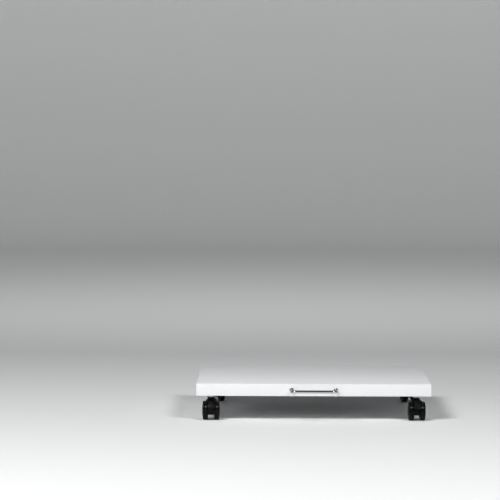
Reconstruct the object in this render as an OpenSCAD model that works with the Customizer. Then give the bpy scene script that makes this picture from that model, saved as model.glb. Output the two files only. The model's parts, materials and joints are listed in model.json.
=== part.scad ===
// Mobile printer stand: a white board on four swivelling twin-wheel casters, with a wire pull.
// Origin: the floor, under the middle of the whole outline. +Z up, -Y the front, +X to the right.

/* [Board] */
// Width of the board, edge bands included
board_w = 480; // [380:10:600]
// Depth of the board, edge bands included
board_d = 400; // [320:10:500]
// Thickness of the board
board_t = 25; // [22:1:30]
// Thickness of the edge bands
band_t = 1; // [0.5:0.5:2]

/* [Handle] */
// Distance between the two legs of the wire pull, centre to centre
handle_span = 90; // [70:5:160]
// Distance from the board's front face to the far side of the bar
handle_reach = 38; // [30:1:50]
// Diameter of the wire
wire_d = 6; // [5:0.5:8]
// Centre-line radius of the wire's two bends
bend_r = 8; // [7:1:12]
// Depth of each leg inside the board
leg_depth = 20; // [15:1:30]
// Distance from the board's front face to the leg screws
leg_screw_y = 9; // [6:1:14]

/* [Casters] */
// Distance from the board's edges to the swivel axes
caster_inset = 30; // [28:1:60]
// Height from the floor to the underside of the board
caster_h = 50; // [50:1:55]
// Horizontal distance from the swivel axis to the wheel axle
trail = 15; // [15:0.5:16]
// Diameter of a wheel
wheel_d = 38; // [37:0.5:38]
// Outer faces of the two wheels, without the caps
wheels_w = 33.6; // [32:0.4:36]
// How far each cap's dome stands out of its wheel
cap_dome = 1.4; // [0.6:0.2:2]
// Turn of each caster at rest: front left, front right, rear left, rear right
caster_turn = [0, 3, 12, 13]; // [0:1:359]

/* [Brakes] */
// Angle that a brake pedal swings through
pedal_swing = 16; // [10:1:16]
// Whether each front brake is pressed at rest: left, right
pedal_pressed = [true, false]; // true or false for each

/* [Hidden] */
$fn = 96;
eps = 0.01;                 // overlap of shapes that are joined
over = 1;                   // how far a cutter stands out of what it cuts
fit = 0.02;                 // clearance of parts that are fixed together
running = 0.05;             // radial clearance of parts that turn on each other
end_gap = 0.5;              // how much deeper a blind bore is than what stands in it

WHITE = [0.93, 0.93, 0.94];
NYLON = [0.07, 0.07, 0.08];
CHROME = [0.78, 0.79, 0.80];
ZINC = [0.66, 0.67, 0.69];

// board
front_y = -(board_d + handle_reach) / 2 + handle_reach;
rear_y = front_y + board_d;
board_z = caster_h;
handle_z = board_z + board_t / 2;

// handle
wire_r = wire_d / 2;
bar_y = front_y - handle_reach + wire_r;
collar_r = 4.75;
collar_t = 1.6;
leg_screw_r = 1.5;
leg_screw_head_r = 3.25;
leg_screw_head_h = 2.2;
leg_screw_dome_r = 1.5 * leg_screw_head_r;
leg_screw_play = 0.2;
leg_screw_top = handle_z + 1;
cross_recess = [3.8, 0.9, 1.2];

// stem: insert nut, thread, hexagon and kingpin
insert_r = 5.5;
insert_h = 18;
insert_flange_r = 8;
insert_flange_h = 1.2;
thread_r = 4;
thread_h = 17;
hex_flats = 13;
hex_h = 4.2;
kingpin_r = 3.45;
kingpin_bottom = 26;
ring_r = 5.2;
ring_mouth = 2;
ring_groove_r = 2.9;
ring_groove_z = 27;
ring_groove_h = 0.8;
washer_r = 6.6;
washer_h = 0.8;
hex_z = caster_h - hex_h;
washer_z = hex_z - washer_h;

// fork: the one moulding that holds the axle, with the hood over the wheels
neck_r = 7;
neck_top = washer_z - running;
neck_bottom = 28;
flare_z = 38.6;
flare_h = 3.8;
flare_r = 10.4;
web_half = 5.9;
web_bottom = 11;
web_rear = 6.6;
hood_half = 10.5;
wing_gap = 0.4;             // between the web and the front wings of a braked caster's hood
hood_in = 19.4;
hood_out = 21;
hood_from = 62;             // angles about the axle, from straight ahead, over the top
hood_to = 150;
nose_to = 12;
hub_boss_r = 5;
hub_boss_half = 6.3;

// wheels and axle, across the caster from its middle plane
axle_z = wheel_d / 2;
axle_r = 2.5;
axle_half = 13.4;
wheel_r = wheel_d / 2;
wheel_in = 6.4;
wheel_out = wheels_w / 2;
drum_r = 8.1;
recess_r = 15.6;
recess_floor = 9.6;
hub_out = 11.5;
pocket_r = 6;
cap_seat = wheel_out - 1.6;
cap_facets = 180;
cap_r = 15.2;
tread_round_in = 1;
tread_round_out = 2;
clip_r = 5;
clip_h = 0.8;
clip_gap = 0.2;
clip_at = hub_out + clip_gap;

// brake: positions are [ahead of the swivel axis, up], with the pedal released
axle_at = [trail, axle_z];
pivot_at = [trail - 3.5, 35.2];
bar_at = [trail + 5.5, 30.5];
pedal_in = 19.1;
pedal_out = 21.6;
pedal_play = 0.3;
pedal_rear = 92;
lip_from = 12;
lip_to = 20;
lip_out = 24.4;
barrel_r = 2.6;
tongue_half = 3.4;
tongue_play = 0.4;
tongue_r = 20;              // the tongue runs up into the pedal as far as this from the axle
tongue_from = 45;
tongue_to = 78;
brake_boss_r = 2.2;
brake_bar_r = 1.5;
brake_bar_half = 9;
brake_bar_play = 0.35;
brake_pin_r = 1.25;
brake_pin_half = web_half - 0.1;
slot_low = 22;
slot_high = 42;
slot_rear = 8.5;
slot_front = trail + 25;
slot_floor_r = 7.3;         // the web stays whole inside this radius about the axle
slot_roof = [18.6, 24];     // radii about the axle between which the slot opens the roof
roof_angle = 97;

CORNERS = ["front_left", "front_right", "rear_left", "rear_right"];
SIDES = ["left", "right"];
corner_at = [
    [-(board_w / 2 - caster_inset), front_y + caster_inset],
    [board_w / 2 - caster_inset, front_y + caster_inset],
    [-(board_w / 2 - caster_inset), rear_y - caster_inset],
    [board_w / 2 - caster_inset, rear_y - caster_inset],
];

// ---- placing ----

// A caster's own frame: the swivel axis at the origin, the floor at 0, the wheels ahead (-Y)
module at_caster(i) {
    translate([corner_at[i].x, corner_at[i].y, 0]) rotate([0, 0, caster_turn[i]]) children();
}

module at_legs() {
    for (x = [-handle_span / 2, handle_span / 2]) translate([x, 0, 0]) children();
}

// A flat outline drawn as [ahead, up], made a plate across the caster
module across(half) {
    rotate([90, 0, -90]) linear_extrude(2 * half, center = true) children();
}

// A round bar across the caster at a point [ahead, up]
module cross_bar(at, r, half) {
    translate([0, -at.x, at.y]) rotate([0, 90, 0]) cylinder(r = r, h = 2 * half, center = true);
}

// A ring lying flat, from z up
module flat_ring(z, h, r_out, r_in) {
    translate([0, 0, z]) difference() {
        cylinder(r = r_out, h = h);
        translate([0, 0, -over]) cylinder(r = r_in, h = h + 2 * over);
    }
}

// Turned about a wheel's axis; outlines are drawn as [radius, distance from the middle plane]
module on_axle(side) {
    translate([0, -axle_at.x, axle_at.y]) rotate([0, 90 * side, 0]) children();
}

function swing_about(p, centre, angle) = let (d = p - centre) [
    centre.x + d.x * cos(angle) + d.y * sin(angle),
    centre.y - d.x * sin(angle) + d.y * cos(angle),
];

function around(centre, r, angle) = centre + r * [cos(angle), sin(angle)];

// Sector of a circle about the axle
module sector(r, from, to) {
    rays = 4;
    intersection() {
        translate(axle_at) circle(r = r);
        polygon(concat(
            [axle_at],
            [for (k = [0:rays]) around(axle_at, 2 * r, from + (to - from) * k / rays)]
        ));
    }
}

module arc_band(r_in, r_out, from, to) {
    difference() {
        sector(r_out, from, to);
        translate(axle_at) circle(r = r_in);
    }
}

// ---- board ----

module leg_bores(r, depth) {
    at_legs() translate([0, front_y - over, handle_z]) rotate([-90, 0, 0])
        cylinder(r = r, h = over + depth);
}

module board_core() {
    color(WHITE) difference() {
        translate([-board_w / 2 + band_t, front_y + band_t, board_z])
            cube([board_w - 2 * band_t, board_d - 2 * band_t, board_t]);
        leg_bores(wire_r + fit, leg_depth + end_gap);
        at_legs() translate([0, front_y + leg_screw_y, board_z - over])
            cylinder(r = leg_screw_r + leg_screw_play, h = board_t / 2);
        for (p = corner_at) translate([p.x, p.y, board_z - over]) {
            cylinder(r = insert_r + fit, h = over + insert_h + end_gap);
            cylinder(r = insert_flange_r + fit, h = over + insert_flange_h);
        }
    }
}

module edge_band_front() {
    color(WHITE) difference() {
        translate([-board_w / 2, front_y, board_z]) cube([board_w, band_t, board_t]);
        leg_bores(wire_r + fit, 2 * band_t);
    }
}

module edge_band_rear() {
    color(WHITE) translate([-board_w / 2, rear_y - band_t, board_z]) cube([board_w, band_t, board_t]);
}

module edge_band_side(x) {
    color(WHITE) translate([x, front_y + band_t, board_z])
        cube([band_t, board_d - 2 * band_t, board_t]);
}

// ---- handle ----

module handle() {
    bend_y = bar_y + bend_r;
    bend_x = handle_span / 2 - bend_r;
    color(CHROME) difference() {
        union() {
            at_legs() translate([0, bend_y, handle_z]) rotate([-90, 0, 0])
                cylinder(r = wire_r, h = front_y + leg_depth - bend_y);
            for (side = [[bend_x, -90], [-bend_x, 180]]) translate([side.x, bend_y, handle_z])
                rotate([0, 0, side.y]) rotate_extrude(angle = 90) translate([bend_r, 0]) circle(r = wire_r);
            translate([-bend_x, bar_y, handle_z]) rotate([0, 90, 0]) cylinder(r = wire_r, h = 2 * bend_x);
        }
        at_legs() translate([0, front_y + leg_screw_y, handle_z - 2 * wire_r])
            cylinder(r = leg_screw_r + fit, h = leg_screw_top + end_gap - handle_z + 2 * wire_r);
    }
}

module handle_collars() {
    color(CHROME) at_legs() translate([0, front_y, handle_z]) rotate([90, 0, 0])
        flat_ring(0, collar_t, collar_r, wire_r + fit);
}

// Pan-head screws from below, through the board into the legs
module handle_screws() {
    color(ZINC) at_legs() translate([0, front_y + leg_screw_y, board_z]) {
        cylinder(r = leg_screw_r, h = leg_screw_top - board_z);
        difference() {
            intersection() {
                translate([0, 0, -leg_screw_head_h]) cylinder(r = leg_screw_head_r, h = leg_screw_head_h);
                translate([0, 0, leg_screw_dome_r - leg_screw_head_h]) sphere(r = leg_screw_dome_r);
            }
            for (a = [0, 90]) rotate([0, 0, a]) translate([0, 0, -leg_screw_head_h])
                cube([cross_recess.x, cross_recess.y, 2 * cross_recess.z], center = true);
        }
    }
}

// ---- stems ----

// Flanged threaded inserts, let into the underside of the board
module stem_inserts() {
    color(ZINC) for (p = corner_at) translate([p.x, p.y, board_z]) difference() {
        union() {
            cylinder(r = insert_r, h = insert_h);
            cylinder(r = insert_flange_r, h = insert_flange_h);
        }
        translate([0, 0, -over]) cylinder(r = thread_r + fit, h = insert_h + 2 * over);
    }
}

module stem() {
    color(ZINC) difference() {
        union() {
            translate([0, 0, kingpin_bottom]) cylinder(r = kingpin_r, h = hex_z - kingpin_bottom + eps);
            translate([0, 0, hex_z])
                cylinder(r = hex_flats / 2 / cos(30), h = hex_h, $fn = 6);
            translate([0, 0, board_z - eps]) cylinder(r = thread_r, h = thread_h);
        }
        flat_ring(ring_groove_z, ring_groove_h, kingpin_r + over, ring_groove_r);
    }
}

module swivel_washer() {
    color(ZINC) flat_ring(washer_z, washer_h, washer_r, kingpin_r + fit);
}

// Open retaining ring in the kingpin's groove
module stem_ring() {
    color(ZINC) difference() {
        flat_ring(ring_groove_z + fit, ring_groove_h - 2 * fit, ring_r, ring_groove_r + fit);
        translate([-ring_mouth / 2, 0, ring_groove_z - over])
            cube([ring_mouth, 2 * ring_r, ring_groove_h + 2 * over]);
    }
}

// ---- fork ----

// Where the web may reach without touching the pedal, released or pressed
module pedal_room() {
    intersection() {
        translate(axle_at) circle(r = pedal_in - pedal_play);
        translate(swing_about(axle_at, pivot_at, pedal_swing)) circle(r = pedal_in - pedal_play);
    }
}

module web_outline(braked) {
    intersection() {
        translate([web_rear, web_bottom]) square(wheel_d);
        union() {
            if (braked) {
                pedal_room();
                sector(hood_out, roof_angle, hood_to);
            } else {
                translate(axle_at) circle(r = pedal_in - pedal_play);
                sector(pedal_out, nose_to, roof_angle);
                sector(hood_out, roof_angle - 1, hood_to);
            }
        }
    }
}

// The opening in the middle of the web that the pedal's tongue works in
module tongue_slot() {
    difference() {
        union() {
            translate(pivot_at) circle(r = barrel_r + tongue_play);
            polygon([
                [slot_rear, slot_low], [slot_front, slot_low], [slot_front, slot_high],
                around(axle_at, slot_roof[1], roof_angle), around(axle_at, slot_roof[0], roof_angle),
                [slot_rear, pivot_at.y],
            ]);
        }
        translate(axle_at) circle(r = slot_floor_r);
    }
}

// The slots in the web's cheeks that the brake bar travels along
module bar_windows() {
    room = brake_bar_r + brake_bar_play;
    low = swing_about(bar_at, pivot_at, pedal_swing);
    run = low - bar_at;
    cross_bar(bar_at, room, web_half + over);
    cross_bar(low, room, web_half + over);
    across(web_half + over) translate(bar_at) rotate(atan2(run.y, run.x))
        translate([0, -room]) square([norm(run), 2 * room]);
}

// The hood's front stretch on the two sides of a pedal
module wings() {
    half = (hood_half - web_half - wing_gap) / 2;
    for (side = [-1, 1]) translate([side * (hood_half - half), 0, 0])
        across(half) arc_band(hood_in, hood_out, hood_from, hood_to);
}

module fork(braked) {
    color(NYLON) difference() {
        union() {
            intersection() {
                translate([0, 0, neck_bottom]) cylinder(r = neck_r, h = neck_top - neck_bottom);
                union() {
                    translate([-web_half, -neck_r, 0]) cube([2 * web_half, 2 * neck_r, neck_top]);
                    translate([-neck_r, -neck_r, flare_z])
                        cube([2 * neck_r, 2 * neck_r, neck_top - flare_z]);
                }
            }
            translate([0, 0, flare_z]) cylinder(r1 = flare_r, r2 = neck_r, h = flare_h);
            across(web_half) web_outline(braked);
            across(web_half) translate([0, neck_bottom]) square([2 * web_rear, flare_z - neck_bottom]);
            if (braked) {
                across(hood_half) arc_band(hood_in, hood_out, roof_angle, hood_to);
                wings();
            } else {
                across(hood_half) arc_band(hood_in, hood_out, hood_from, hood_to);
            }
            cross_bar(axle_at, hub_boss_r, hub_boss_half);
        }
        translate([0, 0, neck_bottom - over])
            cylinder(r = kingpin_r + running, h = neck_top - neck_bottom + 2 * over);
        cross_bar(axle_at, axle_r + fit, 2 * web_half);
        if (braked) {
            across(tongue_half + tongue_play) tongue_slot();
            cross_bar(pivot_at, brake_pin_r + fit, 2 * web_half);
            bar_windows();
        }
    }
}

// ---- axle and wheels ----

module axle() {
    color(ZINC) cross_bar(axle_at, axle_r, axle_half);
}

// Push-on clips that hold the wheels on the axle
module axle_clips() {
    color(ZINC) for (side = [-1, 1]) on_axle(side) flat_ring(clip_at, clip_h, clip_r, axle_r + fit);
}

module wheel_section() {
    difference() {
        union() {
            translate([0, wheel_in]) square([wheel_r - tread_round_in, wheel_out - wheel_in]);
            translate([0, wheel_in + tread_round_in])
                square([wheel_r, wheel_out - wheel_in - tread_round_in - tread_round_out]);
            translate([wheel_r - tread_round_in, wheel_in + tread_round_in]) circle(r = tread_round_in);
            translate([wheel_r - tread_round_out, wheel_out - tread_round_out])
                circle(r = tread_round_out);
        }
        translate([wheel_r - tread_round_out, wheel_out - tread_round_out]) difference() {
            square(2 * tread_round_out);
            circle(r = tread_round_out);
        }
        translate([-over, 0]) square([over + axle_r + running, wheel_r]);
        translate([drum_r, 0]) square([recess_r - drum_r, recess_floor]);
        translate([-over, hub_out]) square([over + pocket_r, wheel_r]);
        translate([-over, cap_seat]) square([over + cap_r, wheel_r]);
    }
}

module wheel(side) {
    color(NYLON) on_axle(side) rotate_extrude() wheel_section();
}

// Domed disc that closes the outer face of a wheel
module cap(side) {
    r = cap_r - running;
    rise = cap_dome;
    dome_r = (r * r + rise * rise) / (2 * rise);
    color(NYLON) on_axle(side) intersection() {
        translate([0, 0, cap_seat]) cylinder(r = r, h = wheel_out - cap_seat + rise + over);
        translate([0, 0, wheel_out + rise - dome_r]) sphere(r = dome_r, $fn = cap_facets);
    }
}

// ---- brake ----

// The pedal and what moves with it are drawn released, and swung about the pivot when pressed
module pressed_by(i) {
    angle = pedal_pressed[i] ? pedal_swing : 0;
    translate([0, -pivot_at.x, pivot_at.y]) rotate([angle, 0, 0])
        translate([0, pivot_at.x, -pivot_at.y]) children();
}

// The arm under the pedal, from the barrel on the pivot pin to the boss around the brake bar
module tongue_outline() {
    barrel = barrel_r - fit;
    boss = brake_boss_r - fit;
    translate(pivot_at) circle(r = barrel_r);
    translate(bar_at) circle(r = brake_boss_r);
    polygon([
        around(pivot_at, barrel, 55), around(axle_at, tongue_r, tongue_to),
        around(axle_at, tongue_r, (tongue_from + tongue_to) / 2), around(axle_at, tongue_r, tongue_from),
        around(bar_at, boss, -50), around(bar_at, boss, 235), around(pivot_at, barrel, 245),
    ]);
}

module brake_pedal(i) {
    color(NYLON) pressed_by(i) difference() {
        union() {
            across(web_half) arc_band(pedal_in, pedal_out, lip_from, pedal_rear);
            across(web_half) arc_band(pedal_in, lip_out, lip_from, lip_to);
            across(tongue_half) tongue_outline();
        }
        cross_bar(pivot_at, brake_pin_r + running, 2 * web_half);
        cross_bar(bar_at, brake_bar_r + fit, 2 * web_half);
    }
}

module brake_pin() {
    color(ZINC) cross_bar(pivot_at, brake_pin_r, brake_pin_half);
}

module brake_bar(i) {
    color(ZINC) pressed_by(i) cross_bar(bar_at, brake_bar_r, brake_bar_half);
}

// ---- every piece in its place ----

board_core();
edge_band_front();
edge_band_rear();
edge_band_side(-board_w / 2);  // edge_band_left
edge_band_side(board_w / 2 - band_t);  // edge_band_right
handle();
handle_collars();
handle_screws();
stem_inserts();
for (i = [0:3]) {
    at_caster(i) stem();
    at_caster(i) swivel_washer();
    at_caster(i) stem_ring();
    at_caster(i) fork(i < 2);
    at_caster(i) axle();
    at_caster(i) axle_clips();
    at_caster(i) wheel(-1);
    at_caster(i) wheel(1);
    at_caster(i) cap(-1);
    at_caster(i) cap(1);
}
for (i = [0:1]) {
    at_caster(i) brake_pedal(i);
    at_caster(i) brake_pin();
    at_caster(i) brake_bar(i);
}
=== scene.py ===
# %% [markdown]
# # A printer stand: a white board on four small casters
#
# The stand is a slab of melamine-faced particle board with a chrome wire pull, carried by four
# black twin-wheel casters. The sizes and the places were settled when the parts were designed, so
# the first step is to load that model as a frame to build around. Every piece below is modelled
# over its plain stand-in, in the same place, and rides on the body that carries the stand-in.

# %% Load the frame
import json
import math
import bmesh
import bpy
from mathutils import Matrix, Vector


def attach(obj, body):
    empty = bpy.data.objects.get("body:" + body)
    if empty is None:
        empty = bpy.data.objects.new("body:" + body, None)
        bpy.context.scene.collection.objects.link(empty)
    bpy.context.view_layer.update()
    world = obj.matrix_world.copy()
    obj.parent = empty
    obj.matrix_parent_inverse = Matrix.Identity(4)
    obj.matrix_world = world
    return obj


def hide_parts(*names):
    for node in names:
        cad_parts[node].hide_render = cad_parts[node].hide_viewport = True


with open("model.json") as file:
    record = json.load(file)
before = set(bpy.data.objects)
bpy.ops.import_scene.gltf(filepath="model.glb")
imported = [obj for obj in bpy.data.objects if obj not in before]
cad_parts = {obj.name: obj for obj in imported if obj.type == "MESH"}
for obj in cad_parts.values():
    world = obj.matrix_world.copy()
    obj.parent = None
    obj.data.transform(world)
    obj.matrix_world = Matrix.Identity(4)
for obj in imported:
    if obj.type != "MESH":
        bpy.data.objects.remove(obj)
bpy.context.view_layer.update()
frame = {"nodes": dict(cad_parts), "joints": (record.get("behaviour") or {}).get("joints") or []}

# %% [markdown]
# ## Reading the places
#
# Fine hardware is easier to think about in millimetres, so the pieces are modelled in millimetres
# and scaled to metres at the very end. Each caster is modelled once, about its own swivel axis, with
# its wheels straight ahead (towards -Y). A matrix then carries the finished piece to its corner. The
# corner and the small turn that each caster was left standing at both come from the joints, so they
# can't drift away from the design.

# %% Corners and their casters
MM = 0.001
X, Y, Z = range(3)
CORNERS = ("front_left", "front_right", "rear_left", "rear_right")
BRAKED = CORNERS[:2]
SIDES = {"left": -1, "right": 1}
joints = {joint["name"]: joint for joint in frame["joints"]}


def caster_place(corner):
    """The move from a caster's own axes to its corner of the board, in metres."""
    x, y, _ = joints[f"{corner}_swivel"]["pos_m"]
    across = joints[f"{corner}_wheel_left_spin"]["axis"]
    return Matrix.Translation((x, y, 0)) @ Matrix.Rotation(math.atan2(across[Y], across[X]), 4, "Z")


places = {corner: caster_place(corner) for corner in CORNERS}
for corner, place in places.items():
    print(corner, "turned", round(math.degrees(place.to_euler().z), 1), "degrees")

# %% [markdown]
# ## Reading the sizes
#
# The far corners of a plain part say how wide, deep and tall it is, and for a round part they give
# its radius too. A part on a caster is measured in the caster's own axes, so a caster that stands at
# an angle reads just as true as one that stands square.

# %% Sizes of the plain parts, in millimetres


def span(node):
    """A plain part's two far corners, in its caster's own axes if it is on a caster."""
    corner = next((name for name in CORNERS if node.startswith(name)), None)
    inward = places[corner].inverted() if corner else Matrix.Identity(4)
    points = [inward @ vert.co / MM for vert in frame["nodes"][node].data.vertices]
    return [Vector(pick(point[axis] for point in points) for axis in (X, Y, Z)) for pick in (min, max)]


def middle(node):
    low, high = span(node)
    return (low + high) / 2


def half(node):
    """Half of a plain part's size along each axis, which is a radius where the part is round."""
    low, high = span(node)
    return (high - low) / 2


board_low, board_high = span("board_core")
front_y = span("edge_band_front")[0].y
axle = middle("front_left_axle")
axle_r = half("front_left_axle").z
wheel_r = half("front_left_wheel_right").z
wheel_near, wheel_far = (corner.x for corner in span("front_left_wheel_right"))
pivot = middle("front_left_brake_pin")
bar = middle("front_right_brake_bar")
pedal_swing = math.radians(joints["front_right_brake_press"]["range_deg"][1])
print("board underside", round(board_low.z, 2), "wheel", round(2 * wheel_r, 2), "axle at", axle[:])
print("brake pivot at", pivot[:], "swings", round(math.degrees(pedal_swing), 1), "degrees")

# %% [markdown]
# ## Tools for solid pieces
#
# Most hardware is either **turned** or **cut from plate**. A turned piece starts as its outline on
# one side of the axis, and spinning the outline makes the body. A plate starts as a flat outline
# and is extruded. Both leave razor edges, which nothing real has, so `soften` rounds every edge
# that turns sharply. That rounding is what catches the light and makes a part look solid.

# %% Turned and extruded solids


def tidy(solid):
    """Merge what coincides and point all faces outwards."""
    bmesh.ops.remove_doubles(solid, verts=solid.verts, dist=0.0005)
    bmesh.ops.recalc_face_normals(solid, faces=solid.faces)
    return solid


def only(kind, items):
    return [item for item in items if isinstance(item, kind)]


def turned(outline, steps=64):
    """Spin (radius, height) corners about Z. An outline that starts and ends on the axis is left open."""
    solid = bmesh.new()
    corners = [solid.verts.new((radius, 0, height)) for radius, height in outline]
    on_axis = outline[0][0] == 0 and outline[-1][0] == 0
    ring = corners if on_axis else corners + corners[:1]
    edges = [solid.edges.new(pair) for pair in zip(ring, ring[1:])]
    bmesh.ops.spin(solid, geom=corners + edges, cent=(0, 0, 0), axis=(0, 0, 1), dvec=(0, 0, 0),
                   angle=math.tau, steps=steps, use_merge=True)
    return tidy(solid)


def arc(radius, height, size, start, end, steps=6):
    """Points of an arc in an outline, about (radius, height). Angles in degrees, 0 pointing outwards."""
    angles = [math.radians(start + (end - start) * step / steps) for step in range(steps + 1)]
    return [(radius + size * math.cos(angle), height + size * math.sin(angle)) for angle in angles]


def plate(outline, thick_half):
    """A flat outline of (ahead, up) corners, made a plate across the caster."""
    solid = bmesh.new()
    face = solid.faces.new([solid.verts.new((-thick_half, -ahead, up)) for ahead, up in outline])
    wall = bmesh.ops.extrude_face_region(solid, geom=[face])["geom"]
    far_side = only(bmesh.types.BMVert, wall)
    bmesh.ops.translate(solid, verts=far_side, vec=(2 * thick_half, 0, 0))
    return tidy(solid)


def block(low, high):
    """A box between two far corners."""
    low, high = Vector(low), Vector(high)
    solid = bmesh.new()
    bmesh.ops.create_cube(solid, size=1)
    bmesh.ops.scale(solid, vec=high - low, verts=solid.verts)
    bmesh.ops.translate(solid, vec=(high + low) / 2, verts=solid.verts)
    return solid


def rod(start, end, radius, steps=64):
    """A round rod between two points."""
    start, end = Vector(start), Vector(end)
    solid = bmesh.new()
    bmesh.ops.create_cone(solid, cap_ends=True, segments=steps, radius1=radius, radius2=radius,
                          depth=(end - start).length)
    bmesh.ops.rotate(solid, verts=solid.verts, matrix=(end - start).to_track_quat("Z", "Y").to_matrix())
    bmesh.ops.translate(solid, verts=solid.verts, vec=(start + end) / 2)
    return solid


def cross_rod(centre, radius, reach, steps=64):
    """A round rod lying across the caster through a point."""
    along = Vector((reach, 0, 0))
    middle_point = Vector((0, centre[Y], centre[Z]))
    return rod(middle_point - along, middle_point + along, radius, steps)


def arch(inner, outer, left, right, start, end, steps=44):
    """A curved plate about the axle. Angles run from straight ahead, over the top, in degrees."""
    solid = bmesh.new()
    corners = [(left, -inner, 0), (right, -inner, 0), (right, -outer, 0), (left, -outer, 0)]
    face = solid.faces.new([solid.verts.new(corner) for corner in corners])
    bmesh.ops.rotate(solid, verts=solid.verts, matrix=Matrix.Rotation(-math.radians(start), 3, "X"))
    bmesh.ops.spin(solid, geom=[face, *face.edges, *face.verts], cent=(0, 0, 0), axis=(-1, 0, 0),
                   dvec=(0, 0, 0), angle=math.radians(end - start), steps=steps)
    bmesh.ops.translate(solid, verts=solid.verts, vec=(0, axle.y, axle.z))
    return tidy(solid)


def soften(solid, width, segments=3, sharper=30, where=None):
    """Round the edges that turn by more than `sharper` degrees, or those of them that `where` picks."""
    limit = math.radians(sharper)
    edges = [edge for edge in solid.edges if edge.is_manifold and edge.calc_face_angle() > limit]
    if where:
        edges = [edge for edge in edges if where((edge.verts[0].co + edge.verts[1].co) / 2)]
    bmesh.ops.bevel(solid, geom=edges, offset=width, offset_type="OFFSET", segments=segments,
                    profile=0.5, affect="EDGES", material=-1, clamp_overlap=True)
    return solid


print("forms: turned, plate, block, rod, arch; edges: soften")

# %% [markdown]
# ## Joining, cutting and repeating
#
# A moulding is several simple forms grown together, and a bore is a rod taken away. Blender's
# Boolean modifier does both. `combined` gives each form to the modifier in turn and keeps the
# result, so a piece ends as one closed skin with nothing hidden inside it. `repeated` is for pieces
# that are sold as a set, such as the two screws of the pull.

# %% Boolean and copy helpers


def as_object(solid, name):
    """A scene object from a bmesh, which is used up."""
    mesh = bpy.data.meshes.new(name)
    solid.to_mesh(mesh)
    solid.free()
    made = bpy.data.objects.new(name, mesh)
    bpy.context.scene.collection.objects.link(made)
    return made


def combined(base, *steps):
    """Apply (operation, form) steps to a base form one after another, and give back one bmesh."""
    for operation, form in steps:
        body = as_object(base, "forming")
        tool = as_object(form, "forming_tool")
        change = body.modifiers.new("change", "BOOLEAN")
        change.operation = operation
        change.solver = "EXACT"
        change.object = tool
        bpy.context.view_layer.update()
        ready = body.evaluated_get(bpy.context.evaluated_depsgraph_get())
        base = bmesh.new()
        base.from_mesh(ready.to_mesh())
        ready.to_mesh_clear()
        for used in (body, tool):
            mesh = used.data
            bpy.data.objects.remove(used)
            bpy.data.meshes.remove(mesh)
        tidy(base)
        bmesh.ops.dissolve_limit(base, angle_limit=math.radians(0.5), verts=base.verts, edges=base.edges,
                                 use_dissolve_boundaries=False)
        tidy(base)
    return base


def repeated(solid, moves):
    """Copies of a form after several moves, as one bmesh."""
    result = bmesh.new()
    for move in moves:
        copy = solid.copy()
        bmesh.ops.transform(copy, matrix=move, verts=copy.verts)
        mesh = bpy.data.meshes.new("copy")
        copy.to_mesh(mesh)
        copy.free()
        result.from_mesh(mesh)
        bpy.data.meshes.remove(mesh)
    return result


def moved(solid, move):
    """The form itself, after a move. A copy is moved where the form is needed again."""
    bmesh.ops.transform(solid, matrix=move, verts=solid.verts)
    return solid


print("forms are joined with UNION and cut with DIFFERENCE")

# %% [markdown]
# ## Publishing a piece
#
# A finished form becomes a piece of the object in one place: it is scaled to metres, carried to its
# corner, shaded smooth except across sharp turns, painted, and told which body carries it and which
# plain part it stands for. The form's own millimetre coordinates are kept as a vertex attribute
# called `own`. A finish can then find the tread on any of the eight wheels with one sum.

# %% Publish helper
finishes = {}
face_counts = []


def publish(solid, node, body, finish, slot, place=Matrix.Identity(4), crease=35):
    """Make a copy of a bmesh, in millimetres, a finished piece that stands for a plain part."""
    copy = solid.copy()
    open_edges = sum(not edge.is_manifold for edge in copy.edges)
    own = copy.verts.layers.float_vector.new("own")
    for vert in copy.verts:
        vert[own] = vert.co
    bmesh.ops.transform(copy, matrix=place @ Matrix.Scale(MM, 4), verts=copy.verts)
    piece = as_object(copy, f"{node}_piece")
    piece.data.shade_smooth()
    piece.data.set_sharp_from_angle(angle=math.radians(crease))
    piece.data.materials.append(finishes[finish])
    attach(piece, body)
    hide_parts(node)
    face_counts.append(len(piece.data.polygons))
    print(piece.name, len(piece.data.polygons), "faces,", open_edges, "open edges")
    return piece


def publish_board(solid, node, finish, slot, **more):
    return publish(solid, node, "board", finish, slot, **more)


# %% [markdown]
# ## Writing finishes as sums
#
# A shader's maths reads best as a formula. `Value` wraps one socket, and adding, multiplying or
# comparing two of them lays down the Math nodes behind the scene. Everything else, from a noise to a
# bump, comes from `Finish.node`, which takes the node's type, its settings and its inputs.

# %% Shader arithmetic


class Value:
    """One number that varies over a surface. Sums with it add Math nodes."""

    def __init__(self, finish, socket):
        self.finish = finish
        self.socket = socket

    def math(self, operation, *others):
        made = self.finish.node("Math", {"operation": operation}, dict(enumerate(others)))
        return Value(self.finish, made.outputs[0])

    def __add__(self, other):
        return self.math("ADD", self, other)

    def __radd__(self, other):
        return self.math("ADD", other, self)

    def __sub__(self, other):
        return self.math("SUBTRACT", self, other)

    def __rsub__(self, other):
        return self.math("SUBTRACT", other, self)

    def __mul__(self, other):
        return self.math("MULTIPLY", self, other)

    def __rmul__(self, other):
        return self.math("MULTIPLY", other, self)

    def __pow__(self, other):
        return self.math("POWER", self, other)


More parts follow.
